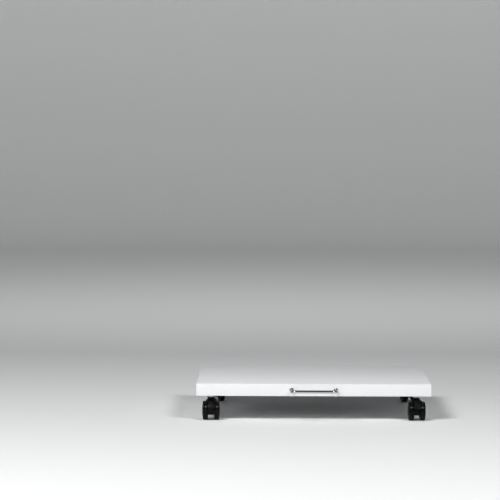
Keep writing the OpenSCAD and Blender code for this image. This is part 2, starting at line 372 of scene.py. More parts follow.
class Finish:
    """A material on the Principled shader. What is the same all over is set on the shader's sockets."""

    def __init__(self, name, **constants):
        self.material = bpy.data.materials.new(name)
        self.material.use_nodes = True
        self.tree = self.material.node_tree
        self.shader = self.tree.nodes["Principled BSDF"]
        for socket, value in constants.items():
            self.shader.inputs[socket].default_value = value
        finishes[name] = self.material
        print("finish:", name)

    def node(self, kind, settings=None, inputs=None):
        """Add a node: its settings first, then a value or a link on each named or numbered input."""
        made = self.tree.nodes.new(f"ShaderNode{kind}")
        for setting, value in (settings or {}).items():
            setattr(made, setting, value)
        for socket, value in (inputs or {}).items():
            self.feed(made.inputs[socket], value)
        return made

    def feed(self, socket, value):
        if isinstance(value, Value):
            value = value.socket
        if isinstance(value, bpy.types.NodeSocket):
            self.tree.links.new(value, socket)
        else:
            socket.default_value = value

    def value(self, node, output=0):
        return Value(self, node.outputs[output])

    def place(self):
        """The piece's coordinates in the frame, in metres."""
        return self.node("TexCoord").outputs["Object"]

    def own(self):
        """The form's own coordinates in millimetres, one value for each axis."""
        attribute = self.node("Attribute", {"attribute_name": "own"})
        split = self.node("SeparateXYZ", None, {0: attribute.outputs["Vector"]})
        return [self.value(split, axis) for axis in (X, Y, Z)]

    def noise(self, size, detail=2.0, roughness=0.5, distortion=0.0, vector=None):
        """Cloudy noise from 0 to 1, in blotches about `size` millimetres across."""
        inputs = {"Vector": vector or self.place(), "Scale": 1 / (size * MM), "Detail": detail,
                  "Roughness": roughness, "Distortion": distortion}
        return self.value(self.node("TexNoise", None, inputs))

    def ramp(self, value, low, high):
        """0 below low, 1 above high, and a smooth rise between."""
        made = self.node("MapRange", {"interpolation_type": "SMOOTHSTEP"},
                         {"Value": value, "From Min": low, "From Max": high})
        return self.value(made)

    def blend(self, share, first, second):
        """A colour that goes from the first to the second."""
        made = self.node("Mix", {"data_type": "RGBA"}, {0: share, 6: first, 7: second})
        return made.outputs[2]

    def paint(self, color, roughness):
        self.feed(self.shader.inputs["Base Color"], color)
        self.feed(self.shader.inputs["Roughness"], roughness)

    def relief(self, height, depth, strength=1.0):
        """A bump whose full height is `depth` millimetres."""
        made = self.node("Bump", None, {"Height": height, "Distance": depth * MM, "Strength": strength})
        self.feed(self.shader.inputs["Normal"], made.outputs["Normal"])


def grey(level, tint=(1.0, 1.0, 1.0)):
    return (level * tint[X], level * tint[Y], level * tint[Z], 1.0)


COOL = (0.98, 0.988, 1.0)
WARM = (1.0, 0.98, 0.95)
print("sums such as 1 - mask and (y + 3) ** 2 now build nodes")

# %% [markdown]
# ## White melamine
#
# The board's faces are paper soaked in melamine resin, pressed against a plate with a very fine
# pearl grain. It could be painted on as a picture, but noise at the grain's real size stays sharp
# from any distance. A fine noise makes the grain. Broad ones shift the white and the sheen a little
# where hands and cloths have passed. The bands are the same white in plastic, drawn through a
# slot, so their faint grain runs along the edge.

# %% Melamine and edging


def melamine():
    finish = Finish("white_melamine")
    cloud = finish.noise(110, detail=3.0)
    grain = finish.noise(0.9, detail=3.0, roughness=0.6)
    wiped = finish.ramp(finish.noise(45, detail=5.0, distortion=0.7), 0.5, 0.72)
    white = finish.blend(cloud, grey(0.82, COOL), grey(0.86, COOL))
    color = finish.blend(wiped * 0.3, white, grey(0.79, WARM))
    finish.paint(color, 0.33 + 0.1 * grain + 0.09 * wiped)
    finish.relief(grain, 0.03, 0.4)


def edging():
    finish = Finish("white_edging")
    drawn_out = finish.node("Mapping", None, {"Vector": finish.place(), "Scale": (0.04, 0.04, 1.0)})
    streaks = finish.noise(0.5, vector=drawn_out.outputs[0])
    cloud = finish.noise(70, detail=3.0)
    color = finish.blend(cloud, grey(0.78, COOL), grey(0.81, COOL))
    finish.paint(color, 0.3 + 0.1 * streaks + 0.06 * cloud)
    finish.relief(streaks, 0.02, 0.35)


melamine()
edging()

# %% [markdown]
# ## Chrome and zinc
#
# The pull is polished wire with chrome plate: nearly a mirror, a little dulled where fingers hold
# it. The stems, rods and screws are zinc plated, which is greyer and grainier, with a faint blue or
# straw cast from the dip that protects it. Both are metals, so the base colour tints the reflection.

# %% Plated metals
CRYSTAL = 0.8
STRAW = (1.0, 0.97, 0.90)
PALE_BLUE = (0.94, 0.98, 1.0)


def chrome():
    finish = Finish("polished_chrome", Metallic=1.0)
    handled = finish.ramp(finish.noise(9, detail=4.0, distortion=0.8), 0.45, 0.8)
    fine = finish.noise(0.4)
    color = finish.blend(handled, grey(0.64, COOL), grey(0.56, WARM))
    finish.paint(color, 0.12 + 0.12 * handled + 0.03 * fine)
    finish.relief(fine, 0.004, 0.5)


def zinc():
    finish = Finish("zinc_plate", Metallic=1.0)
    crystals = {"Vector": finish.place(), "Scale": 1 / (CRYSTAL * MM)}
    cells = finish.value(finish.node("TexVoronoi", None, crystals))
    cast = finish.noise(4, detail=3.0)
    fine = finish.noise(0.3)
    tint = finish.blend(cast, grey(0.70, PALE_BLUE), grey(0.74, STRAW))
    color = finish.blend(cells * 0.3, tint, grey(0.5))
    finish.paint(color, 0.24 + 0.14 * cells + 0.08 * fine)
    finish.relief(fine + cells * 0.5, 0.01, 0.5)


chrome()
zinc()

# %% [markdown]
# ## Black nylon
#
# The casters are injection-moulded nylon. The fork's mould was spark-eroded, and its fine grain
# spreads the highlights. The wheels come from a polished mould, so they glint, except where the
# tread has picked up dust and scuffs. The dust is placed by a sum on the form's own coordinates:
# the distance from the axle picks out the tread, and a noise breaks it up.

# %% Nylon finishes
TREAD_FROM, TREAD_TO = 1.2, 0.2


def fork_nylon():
    finish = Finish("fork_nylon", **{"Specular IOR Level": 0.22})
    grain = finish.noise(0.25)
    film = finish.ramp(finish.noise(7, detail=5.0), 0.5, 0.85)
    color = finish.blend(film * 0.4, grey(0.010, COOL), grey(0.03, WARM))
    finish.paint(color, 0.34 + 0.12 * grain + 0.15 * film)
    finish.relief(grain, 0.012, 0.6)


def wheel_nylon():
    finish = Finish("wheel_nylon", **{"Specular IOR Level": 0.25})
    _, along, up = finish.own()
    from_axle = ((along - axle.y) ** 2 + (up - axle.z) ** 2) ** 0.5
    tread = finish.ramp(from_axle, wheel_r - TREAD_FROM, wheel_r - TREAD_TO)
    patches = finish.ramp(finish.noise(3, detail=7.0, roughness=0.7), 0.5, 0.9)
    dust = tread * patches
    scuffs = finish.noise(0.6, detail=4.0, distortion=1.5)
    color = finish.blend(dust * 0.5, grey(0.0045, COOL), grey(0.035, WARM))
    finish.paint(color, 0.17 + 0.08 * scuffs + 0.3 * dust)
    finish.relief(scuffs, 0.01, 0.3)


def cap_nylon():
    finish = Finish("cap_nylon", **{"Specular IOR Level": 0.22})
    film = finish.ramp(finish.noise(6, detail=5.0), 0.5, 0.85)
    fine = finish.noise(0.4, detail=3.0)
    color = finish.blend(film * 0.4, grey(0.005, COOL), grey(0.02, WARM))
    finish.paint(color, 0.24 + 0.08 * fine + 0.15 * film)
    finish.relief(fine, 0.006, 0.4)


fork_nylon()
wheel_nylon()
cap_nylon()

# %% [markdown]
# ## The board
#
# The slab is a box with a band glued along each edge. What makes it read as furniture board, and
# not as a plain box, is small: the outer edges are eased where the bands were trimmed flush, and a
# hair of a joint shows between band and face. The slab is drilled before it is banded: two bores for
# the legs of the pull, two holes for their screws, and four stepped pockets for the threaded
# inserts. The drills are rods, with sizes read from the parts that fill the holes.

# %% Board slab
SLACK = 0.02
HAIR = 0.12
DRILL_START = 1.0
DRILL_OVER = 0.5
SCREW_PLAY = 0.2
wire_r = half("handle").z
leg_x = half("handle").x - wire_r
leg_xs = (-leg_x, leg_x)
pull_z = middle("handle").z
leg_end_y = span("handle")[1].y
screw = middle("handle_screws")
screw_low, screw_high = span("handle_screws")
screw_head_r = half("handle_screws").y
insert_top = span("stem_inserts")[1].z
SCREW_R = 1.5
INSERT_R = 5.5
FLANGE_R = 8.0
FLANGE_T = 1.2
swivels = [place.translation / MM for place in places.values()]
underside = board_low.z


def drill(x, y, low, high, radius):
    return ("DIFFERENCE", rod((x, y, low), (x, y, high), radius))


def leg_drill(x, end_y):
    return ("DIFFERENCE", rod((x, front_y - DRILL_START, pull_z), (x, end_y, pull_z), wire_r + SLACK))


slab_holes = []
below = underside - DRILL_START
for x in leg_xs:
    slab_holes.append(leg_drill(x, leg_end_y + DRILL_OVER))
    slab_holes.append(drill(x, screw.y, below, pull_z, SCREW_R + SCREW_PLAY))
for at in swivels:
    slab_holes.append(drill(at.x, at.y, below, insert_top + DRILL_OVER, INSERT_R + SLACK))
    slab_holes.append(drill(at.x, at.y, below, underside + FLANGE_T, FLANGE_R + SLACK))
slab = combined(soften(block(board_low, board_high), HAIR, segments=2), *slab_holes)
publish_board(slab, "board_core", "white_melamine", "white_board")

# %% [markdown]
# Each band is a millimetre of plastic. Its outer long edges are scraped to a small radius, and the
# inner ones keep only the hair that shows as the joint. The front band is bored for the pull.

# %% Edge bands
BAND_ROUND = 0.7
OUTER_FROM = 0.9
BAND_BORE = 2.0


def band(node, outward, *holes):
    """A band whose outer edges are rounded. `outward` points away from the board."""
    low, high = span(node)
    inner_face = (low if outward.dot(low) < outward.dot(high) else high).dot(outward)
    strip = block(low, high)
    soften(strip, BAND_ROUND, segments=4,
           where=lambda point: point.dot(outward) > inner_face + OUTER_FROM)
    soften(strip, HAIR, segments=2, sharper=60)
    if holes:
        strip = combined(strip, *holes)
    publish_board(strip, node, "white_edging", "white_edging")


band("edge_band_front", Vector((0, -1, 0)), *[leg_drill(x, front_y + BAND_BORE) for x in leg_xs])
band("edge_band_rear", Vector((0, 1, 0)))
band("edge_band_left", Vector((-1, 0, 0)))
band("edge_band_right", Vector((1, 0, 0)))

# %% [markdown]
# ## The wire pull
#
# The pull is one length of wire, bent twice and plated. It could be a curve with a round bevel, but
# drawing a disc along the path is closer to how it is made: the disc is extruded along each straight
# and spun round each bend. The legs are cross-drilled for the screws that hold them in the board.

# %% Wire pull
BEND_R = 8.0
LEG_EASE = 0.5
bar_y = span("handle")[0].y + wire_r
bend_y = bar_y + BEND_R
bend_x = leg_x - BEND_R


def straight(solid, end, way):
    """Draw the end disc of a wire straight on, and give back the new end."""
    grown = bmesh.ops.extrude_face_region(solid, geom=[*end, *end[0].edges, *end[0].verts])["geom"]
    bmesh.ops.translate(solid, vec=way, verts=only(bmesh.types.BMVert, grown))
    return only(bmesh.types.BMFace, grown)


def bend(solid, end, centre, steps=20):
    """Spin the end disc of a wire a quarter turn, clockwise from above."""
    grown = bmesh.ops.spin(solid, geom=[*end, *end[0].edges, *end[0].verts], cent=centre,
                           axis=(0, 0, -1), dvec=(0, 0, 0), angle=math.pi / 2, steps=steps)["geom_last"]
    return only(bmesh.types.BMFace, grown)


wire = bmesh.new()
bmesh.ops.create_circle(wire, cap_ends=True, segments=48, radius=wire_r)
bmesh.ops.rotate(wire, verts=wire.verts, matrix=Matrix.Rotation(math.pi / 2, 3, "X"))
bmesh.ops.translate(wire, verts=wire.verts, vec=(leg_x, leg_end_y, pull_z))
end = straight(wire, list(wire.faces), (0, bend_y - leg_end_y, 0))
end = bend(wire, end, (bend_x, bend_y, pull_z))
end = straight(wire, end, (-2 * bend_x, 0, 0))
end = bend(wire, end, (-bend_x, bend_y, pull_z))
straight(wire, end, (0, leg_end_y - bend_y, 0))
soften(tidy(wire), LEG_EASE, sharper=60)
leg_holes = [drill(x, screw.y, pull_z - 2 * wire_r, screw_high.z + DRILL_OVER, SCREW_R + SLACK)
             for x in leg_xs]
publish_board(combined(wire, *leg_holes), "handle", "polished_chrome", "chrome")

# %% [markdown]
# ## Threads
#
# A real thread is a helix. Here it is drawn as rings, which look the same at this size and keep the
# mesh simple. `ridges` draws one side of such a thread as part of the outline of any turned piece.

# %% Thread outline
THREAD_PITCH = 1.25
CREST_FROM, CREST_TO, ROOT_FROM = 0.4, 0.55, 0.95


def ridges(root, crest, low, high, pitch=THREAD_PITCH):
    """Outline points of a thread that runs up from low to high."""
    turns = round((high - low) / pitch)
    points = [(root, low)]
    for turn in range(turns):
        foot = low + (high - low) * turn / turns
        points += [(crest, foot + CREST_FROM * pitch), (crest, foot + CREST_TO * pitch),
                   (root, foot + ROOT_FROM * pitch)]
    return points + [(root, high)]


print("a thread of 10 mm has", round(10 / THREAD_PITCH), "rings")

# %% [markdown]
# ## Collars and clamp screws
#
# A small domed collar hides the edge of each bore. Behind it a pan-head screw comes up from below,
# through the board and the leg, and holds the pull. Both are turned, and the cross in the screw's
# head is cut by one block that is used twice, the second time a quarter turn round.

# %% Collars
COLLAR_RIM = 0.7
COLLAR_DOME = 0.9
MOUTH_EASE = 0.3
collar_t = front_y - span("handle_collars")[0].y
collar_r = half("handle_collars").z
legs = [Vector((x, 0, 0)) for x in leg_xs]
collar = turned([(wire_r + SLACK, 0), (collar_r, 0), (collar_r, COLLAR_RIM),
                 *arc(collar_r - COLLAR_DOME, COLLAR_RIM, COLLAR_DOME, 0, 90),
                 (wire_r + MOUTH_EASE, collar_t), (wire_r + SLACK, collar_t - MOUTH_EASE)])
facing = Matrix.Translation((0, front_y, pull_z)) @ Matrix.Rotation(math.pi / 2, 4, "X")
collars = repeated(collar, [Matrix.Translation(leg) @ facing for leg in legs])
publish_board(collars, "handle_collars", "polished_chrome", "chrome")

# %% Clamp screws
HEAD_FLATNESS = 1.5
RUN_OUT = 0.8
SCREW_TIP = 0.5
RECESS_HALF = Vector((1.9, 0.45, 0))
RECESS_DEPTH = 1.2
RECESS_TOOL = Vector((0, 0, 2.2))
thread_root = SCREW_R - 0.3
dome_r = HEAD_FLATNESS * screw_head_r
dome_angle = math.degrees(math.asin(screw_head_r / dome_r))
head_dome = arc(0, screw_low.z + dome_r, dome_r, -90, -90 + dome_angle, steps=8)
head_dome[0] = (0, screw_low.z)
pan = turned(head_dome + [(screw_head_r, underside)]
             + ridges(thread_root, SCREW_R, underside, screw_high.z - RUN_OUT)
             + [(thread_root, screw_high.z - SCREW_TIP), (0, screw_high.z)], steps=48)
recess_top = Vector((0, 0, screw_low.z + RECESS_DEPTH))
slot_block = block(recess_top - RECESS_HALF - RECESS_TOOL, recess_top + RECESS_HALF)
for turn in (0, math.pi / 2):
    pan = combined(pan, ("DIFFERENCE", moved(slot_block.copy(), Matrix.Rotation(turn, 4, "Z"))))
screws = repeated(pan, [Matrix.Translation(leg + Vector((0, screw.y, 0))) for leg in legs])
publish_board(screws, "handle_screws", "zinc_plate", "zinc_steel")

# %% [markdown]
# ## Inserts and stems
#
# Each caster screws into a flanged insert by the M8 end of its stem, and a spanner on the hexagon
# pulls it tight. Below the hexagon the stem becomes the kingpin that the fork turns on. The stem is
# three forms joined: a turned thread, a hexagon whose corners are cut back by a cone as on any
# machined nut, and a turned pin with a groove for its retaining ring.

# %% Inserts
INSERT_PITCH = 2.5
INSERT_ROOT = INSERT_R - 0.7
INSERT_LEAD = INSERT_R - 1
INSERT_RUN_OUT = 0.6
INSERT_MOUTH = 0.5
FLANGE_EASE = 0.3
thread_r = 4.0
insert_bore = thread_r + SLACK
flange_top = underside + FLANGE_T
outer_thread = ridges(INSERT_ROOT, INSERT_R, flange_top, insert_top - INSERT_RUN_OUT, INSERT_PITCH)
insert = turned([(insert_bore + INSERT_MOUTH, underside), (FLANGE_R - FLANGE_EASE, underside),
                 (FLANGE_R, underside + FLANGE_EASE), (FLANGE_R, flange_top), *outer_thread,
                 (INSERT_LEAD, insert_top), (insert_bore, insert_top),
                 (insert_bore, underside + INSERT_MOUTH)])
inserts = repeated(insert, [Matrix.Translation(at) for at in swivels])
publish_board(inserts, "stem_inserts", "zinc_plate", "zinc_steel")

# %% Stem
stem_low, stem_high = span("front_left_stem")
washer_low, washer_high = span("front_left_swivel_washer")
ring_low, ring_high = span("front_left_stem_ring")
hex_z = washer_high.z
hex_flat = half("front_left_stem").y
kingpin_r = 3.45
groove_r = 2.9
GROOVE_SLACK = 0.02
PIN_EASE = 0.5
INSIDE = 1.0
STUD_POINT = 1.4
CONE_IN, CONE_OUT, CONE_H = 0.2, 1.2, 0.8
half_side = math.pi / 6
hex_corner = hex_flat / math.cos(half_side)
stud_root = thread_r - 0.6

hexagon = bmesh.new()
bmesh.ops.create_cone(hexagon, cap_ends=True, segments=6, radius1=hex_corner, radius2=hex_corner,
                      depth=underside - hex_z)
moved(hexagon, Matrix.Translation((0, 0, (underside + hex_z) / 2)) @ Matrix.Rotation(half_side, 4, "Z"))
corner_cut = turned([(0, hex_z), (hex_flat - CONE_IN, hex_z), (hex_flat + CONE_OUT, hex_z + CONE_H),
                     (hex_flat + CONE_OUT, underside - CONE_H), (hex_flat - CONE_IN, underside),
                     (0, underside)])
kingpin = turned([(0, stem_low.z), (kingpin_r - PIN_EASE, stem_low.z), (kingpin_r, stem_low.z + PIN_EASE),
                  (kingpin_r, ring_low.z - GROOVE_SLACK), (groove_r, ring_low.z - GROOVE_SLACK),
                  (groove_r, ring_high.z + GROOVE_SLACK), (kingpin_r, ring_high.z + GROOVE_SLACK),
                  (kingpin_r, hex_z + INSIDE), (0, hex_z + INSIDE)])
stud = turned([(0, underside - INSIDE), (stud_root, underside - INSIDE)]
              + ridges(stud_root, thread_r, underside, stem_high.z - RUN_OUT)
              + [(thread_r - STUD_POINT, stem_high.z), (0, stem_high.z)])
stem = combined(hexagon, ("INTERSECT", corner_cut), ("UNION", kingpin), ("UNION", stud))
print("stem", round(stem_high.z - stem_low.z, 2), "long")

# %% [markdown]
# A plain washer keeps the hexagon off the fork's neck, and an open spring ring in the kingpin's
# groove keeps the fork from dropping off. The ring is turned whole, and its gap is cut by a block.

# %% Washer and ring
washer = soften(turned([(kingpin_r + SLACK, washer_low.z), (washer_high.x, washer_low.z),
                        (washer_high.x, washer_high.z), (kingpin_r + SLACK, washer_high.z)]), 0.15)
open_ring = turned([(groove_r + SLACK, ring_low.z), (ring_high.x, ring_low.z),
                    (ring_high.x, ring_high.z), (groove_r + SLACK, ring_high.z)])
ring_gap = block((-1, 0, ring_low.z - INSIDE), (1, 2 * ring_high.x, ring_high.z + INSIDE))
open_ring = soften(combined(open_ring, ("DIFFERENCE", ring_gap)), 0.12, segments=2)

for corner, place in places.items():
    for part, form in (("stem", stem), ("swivel_washer", washer), ("stem_ring", open_ring)):
        publish_board(form, f"{corner}_{part}", "zinc_plate", "zinc_steel", place=place)

# %% [markdown]
# ## The forks
#
# A fork is one moulding with four jobs: a neck that turns on the kingpin, a web between the two
# wheels, a boss for the axle, and a hood that keeps fingers and cable out from between the wheels.
# Each job is a simple form with its edges rounded first, and the forms are joined into one skin.
# Rounding after joining would be neater at the inside corners, but Blender's bevel often fails on
# such meshes. The front forks have a notch in the hood and a slot in the web for the brake pedal,
# and the rear ones are closed over the nose instead.

# %% Fork sizes
fork_low, fork_high = span("front_left_fork")
hood_half = fork_high.x
web_half = half("front_left_brake_pedal").x
NECK_R = 7.0
NECK_BOTTOM = 28.0
FLARE_R = 10.4
FLARE_Z = 38.6
FLARE_H = 3.8
WEB_REAR = -6.6
WEB_R = 18.8
HOOD_IN = 19.4
HOOD_OUT = 21.0
NOSE_OUT = 21.6
HOOD_FROM, HOOD_TO, ROOF, NOSE_TO = 62, 150, 97, 12
NOTCH_IN, NOTCH_OUT, NOTCH_FROM = 15, 25, 52
COLUMN_TOP = FLARE_Z + 0.1
FILLET_OUT, FILLET_UP = 0.5, 0.2
WING_GAP = 0.4
BOSS_R = 5.0
BOSS_HALF = 6.3
TONGUE_SLOT_HALF = 3.8
EASE = 0.4
EDGE_ROUND = 0.5
BEYOND = 60
HUNDREDTH = 0.01
column_half = web_half - 3 * HUNDREDTH
print("fork sizes: hood", 2 * hood_half, "wide, web", 2 * web_half, "thick")

# %% [markdown]
# Two small helpers place things on a caster: `swung` turns a form with the pedal, and `around_axle`
# finds a point from its angle about the axle. Then come the neck, the web and the hood.

# %% Neck, web and hood


def swung(share):
    """The pedal's own turn about its pivot, from 0 released to 1 pressed."""
    return (Matrix.Translation((0, pivot.y, pivot.z)) @ Matrix.Rotation(share * pedal_swing, 4, "X")
            @ Matrix.Translation((0, -pivot.y, -pivot.z)))


def around_axle(radius, angle):
    """(ahead, up) of a point about the axle."""
    turn = math.radians(angle)
    return (-axle.y + radius * math.cos(turn), axle.z + radius * math.sin(turn))


def neck():
    """The turned neck's column, flattened to the web's width, and the flare above it."""
    column = turned([(0, NECK_BOTTOM), (NECK_R, NECK_BOTTOM), (NECK_R, COLUMN_TOP), (0, COLUMN_TOP)])
    slice_to = block((-column_half, -NECK_R - 1, 0), (column_half, NECK_R + 1, BEYOND))
    column = soften(combined(column, ("INTERSECT", slice_to)), EASE, sharper=50)
    flare = turned([(0, FLARE_Z), (FLARE_R - EASE, FLARE_Z), (FLARE_R, FLARE_Z + EASE),
                    (NECK_R + FILLET_OUT, FLARE_Z + FLARE_H - EASE),
                    (NECK_R, FLARE_Z + FLARE_H + FILLET_UP),
                    (NECK_R, fork_high.z - EASE), (NECK_R - EASE, fork_high.z), (0, fork_high.z)])
    return column, flare


def web(braked):
    """The plate between the wheels. A front one keeps clear of the pedal at both ends of its swing."""
    disc = cross_rod(axle, WEB_R, web_half, steps=128)
    if braked:
        pressed_disc = cross_rod(swung(1) @ axle, WEB_R, web_half + 1, steps=128)
        disc = combined(disc, ("INTERSECT", pressed_disc))
    front_part = block((-20, -BEYOND, fork_low.z), (20, WEB_REAR, BEYOND))
    return soften(combined(disc, ("INTERSECT", front_part)), EDGE_ROUND, sharper=50)


def hood(braked):
    """The curved cover. On a front fork it is notched for the pedal."""
    cover = arch(HOOD_IN, HOOD_OUT, -hood_half, hood_half, HOOD_FROM, HOOD_TO)
    if braked:
        gap = web_half + WING_GAP
        notch = arch(NOTCH_IN, NOTCH_OUT, -gap, gap, NOTCH_FROM, ROOF, steps=24)
        cover = combined(cover, ("DIFFERENCE", notch))
    return soften(cover, EDGE_ROUND, sharper=50)


print("the pedal swings the bar", round((swung(1) @ bar - bar).length, 2), "mm")

# %% [markdown]
# A front fork is slotted for the pedal's tongue before its hood goes on. The bores come last: the
# kingpin's and the axle's, and on a front fork the pedal pin's and a curved window that the brake
# bar travels along.

# %% Bores and the pedal's slot
RUNNING = 0.05
DRUM_R = 8.1
BARREL_R = 2.6
BARREL_PLAY = 0.4
BAR_PLAY = 0.35
SPINE_IN = 17
SPINE_TO = 138
BRIDGE_TOP = FLARE_Z + 0.3
BORE_START = NECK_BOTTOM - 5
DRUM_LAP = 0.8
pin_r = half("front_left_brake_pin").z
bar_r = half("front_left_brake_bar").z


def tongue_slot():
    """The opening that the pedal's tongue works in, stopping short of the axle's boss."""
    opening = plate([(8.5, 22), (40, 22), (40, 42), around_axle(24, ROOF), around_axle(18.6, ROOF),
                     (8.5, pivot.z)], TONGUE_SLOT_HALF)
    return combined(opening,
                    ("UNION", cross_rod(pivot, BARREL_R + BARREL_PLAY, TONGUE_SLOT_HALF + HUNDREDTH)),
                    ("DIFFERENCE", cross_rod(axle, DRUM_R - DRUM_LAP, 10)))


print("pin", round(2 * pin_r, 2), "and bar", round(2 * bar_r, 2), "across")

# %% Joined forks


def fork(braked):
    """One fork. Joined forms differ by hundredths in width, because shared planes upset a Boolean."""
    column, flare = neck()
    bridge_half = web_half - 2 * HUNDREDTH
    bridge = block((-bridge_half, 2 * WEB_REAR, NECK_BOTTOM + 2 * HUNDREDTH),
                   (bridge_half, 0, BRIDGE_TOP))
    spine_half = web_half - HUNDREDTH
    spine = arch(SPINE_IN, (HOOD_IN + HOOD_OUT) / 2, -spine_half, spine_half,
                 ROOF + 0.5 if braked else ROOF - 1, SPINE_TO)
    boss = soften(cross_rod(axle, BOSS_R, BOSS_HALF), 0.3)
    steps = [("UNION", column), ("UNION", soften(bridge, EASE)),
             ("UNION", soften(spine, 0.3, sharper=50))]
    if braked:
        steps.append(("DIFFERENCE", tongue_slot()))
    else:
        nose_half = web_half - 1.5 * HUNDREDTH
        nose = arch(SPINE_IN, NOSE_OUT, -nose_half, nose_half, NOSE_TO, ROOF + 0.3)
        steps.append(("UNION", soften(nose, EDGE_ROUND, sharper=50)))
    steps += [("UNION", hood(braked)), ("UNION", flare), ("UNION", boss),
              ("DIFFERENCE", rod((0, 0, BORE_START), (0, 0, BEYOND), kingpin_r + RUNNING)),
              ("DIFFERENCE", cross_rod(axle, axle_r + SLACK, 2 * web_half))]
    if braked:
        steps.append(("DIFFERENCE", cross_rod(pivot, pin_r + SLACK, 2 * web_half)))
        for share in (0, 1 / 3, 2 / 3, 1):
            steps.append(("DIFFERENCE", cross_rod(swung(share) @ bar, bar_r + BAR_PLAY, web_half + 1)))
    return combined(web(braked), *steps)


for corner, place in places.items():
    form = fork(corner in BRAKED)
    publish(form, f"{corner}_fork", f"{corner}_caster", "fork_nylon", "fork_nylon", place=place)

# %% [markdown]
# ## Axles, wheels and caps
#
# The two wheels of a caster turn on one plain axle, each held by a push-on clip that a domed cap
# hides. A wheel is a turned form: a tread with a large outer and a small inner round, a hub, and a
# recess between them that saves plastic. A hair line round the tread shows where the mould parted.

# %% Axle and clips
clip_far = span("front_left_axle_clips")[1].x
clip_r = half("front_left_axle_clips").z
CLIP_T = 0.8
CLIP_SLOTS = 6
SLOT_HALF = 0.4
SLOT_DEPTH = 1.1
axle_rod = soften(cross_rod(axle, axle_r, half("front_left_axle").x), 0.4, segments=2)

clip = turned([(axle_r + SLACK, 0), (clip_r, 0), (clip_r, CLIP_T), (axle_r + SLACK, CLIP_T)])
relief_slot = block((0, -SLOT_HALF, -1), (axle_r + SLOT_DEPTH, SLOT_HALF, 2))
for turn in range(CLIP_SLOTS):
    around = Matrix.Rotation(turn * math.tau / CLIP_SLOTS, 4, "Z")
    clip = combined(clip, ("DIFFERENCE", moved(relief_slot.copy(), around)))
soften(clip, 0.1, segments=2)


def on_axle(side, distance=0):
    """The move that turns Z outwards along the axle, on the left (-1) or the right (1)."""
    return (Matrix.Translation(axle) @ Matrix.Rotation(side * math.pi / 2, 4, "Y")
            @ Matrix.Translation((0, 0, distance)))


clips = repeated(clip, [on_axle(side, clip_far - CLIP_T) for side in SIDES.values()])
for corner, place in places.items():
    publish(axle_rod, f"{corner}_axle", f"{corner}_caster", "zinc_plate", "zinc_steel", place=place)
    publish(clips, f"{corner}_axle_clips", f"{corner}_caster", "zinc_plate", "zinc_steel", place=place)

# %% Wheels
RECESS_R = 15.6
RECESS_FLOOR = 9.6
HUB_OUT = 11.5
POCKET_R = 6.0
CAP_DEPTH = 1.6
CAP_SEAT = wheel_far - CAP_DEPTH
CAP_SEAT_R = 15.2
ROUND_IN, ROUND_OUT = 1.0, 2.0
PARTING = 0.08
parting_at = (wheel_near + wheel_far) / 2

wheel = turned([
    (axle_r + RUNNING, wheel_near), (DRUM_R, wheel_near), (DRUM_R, RECESS_FLOOR),
    (RECESS_R, RECESS_FLOOR), (RECESS_R, wheel_near),
    *arc(wheel_r - ROUND_IN, wheel_near + ROUND_IN, ROUND_IN, -90, 0),
    (wheel_r, parting_at - 2 * PARTING), (wheel_r - PARTING, parting_at),
    (wheel_r, parting_at + 2 * PARTING),
    *arc(wheel_r - ROUND_OUT, wheel_far - ROUND_OUT, ROUND_OUT, 0, 90, steps=8),
    (CAP_SEAT_R, wheel_far), (CAP_SEAT_R, CAP_SEAT), (POCKET_R, CAP_SEAT), (POCKET_R, HUB_OUT),
    (axle_r + RUNNING, HUB_OUT)], steps=128)
soften(wheel, 0.2, segments=2, sharper=60)

# %% [markdown]
# The cap is a shallow dome that snaps into the wheel. Its dome is part of a large sphere, with a
# fine step near its rim and a dimple in the middle, left by the mould's gate.

# %% Caps
cap_top = span("front_left_cap_right")[1].x
cap_r = half("front_left_cap_right").z
rise = cap_top - wheel_far
sphere_r = (cap_r ** 2 + rise ** 2) / (2 * rise)
STEP_R = 12.6
STEP_DEPTH = 0.12
STEP_SIDE = 0.1
STEP_LAND = 0.3
DIMPLE_R = 1.6
DIMPLE_LAND = 0.4
RIM_EASE = 0.15


def dome(radius, sunk=0.0):
    """A point of the cap's dome, or a little below it."""
    return (radius, cap_top - sphere_r + math.sqrt(sphere_r ** 2 - radius ** 2) - sunk)


def dome_run(start, end, steps):
    """Points of the dome from one radius to another."""
    return [dome(start + (end - start) * step / steps) for step in range(steps + 1)]


cap = turned([(0, CAP_SEAT), (cap_r, CAP_SEAT), (cap_r, dome(cap_r)[1] - RIM_EASE),
              *dome_run(cap_r - RIM_EASE, STEP_R + STEP_LAND, 5),
              dome(STEP_R + STEP_SIDE, STEP_DEPTH), dome(STEP_R - STEP_SIDE, STEP_DEPTH),
              *dome_run(STEP_R - STEP_LAND, DIMPLE_R + DIMPLE_LAND, 12),
              dome(DIMPLE_R, 0.15), dome(DIMPLE_R / 2, 0.25), (0, dome(0, 0.28)[1])], steps=128)

for corner, place in places.items():
    for side, way in SIDES.items():
        body = f"{corner}_wheel_{side}"
        turned_wheel = moved(wheel.copy(), on_axle(way))
        turned_cap = moved(cap.copy(), on_axle(way))
        publish(turned_wheel, f"{corner}_wheel_{side}", body, "wheel_nylon", "wheel_nylon", place=place)
        publish(turned_cap, f"{corner}_cap_{side}", body, "cap_nylon", "cap_nylon", place=place)

# %% [markdown]
# ## Brake pedals
#
# A front caster's pedal is a curved plate that follows the wheels, with a lip for the shoe. A tongue
# under it reaches into the fork and carries a steel bar, which presses on both hubs when the pedal
# goes down. The pedal is modelled released. The left one was left pressed, so its parts are swung
# about the pivot before they are published.

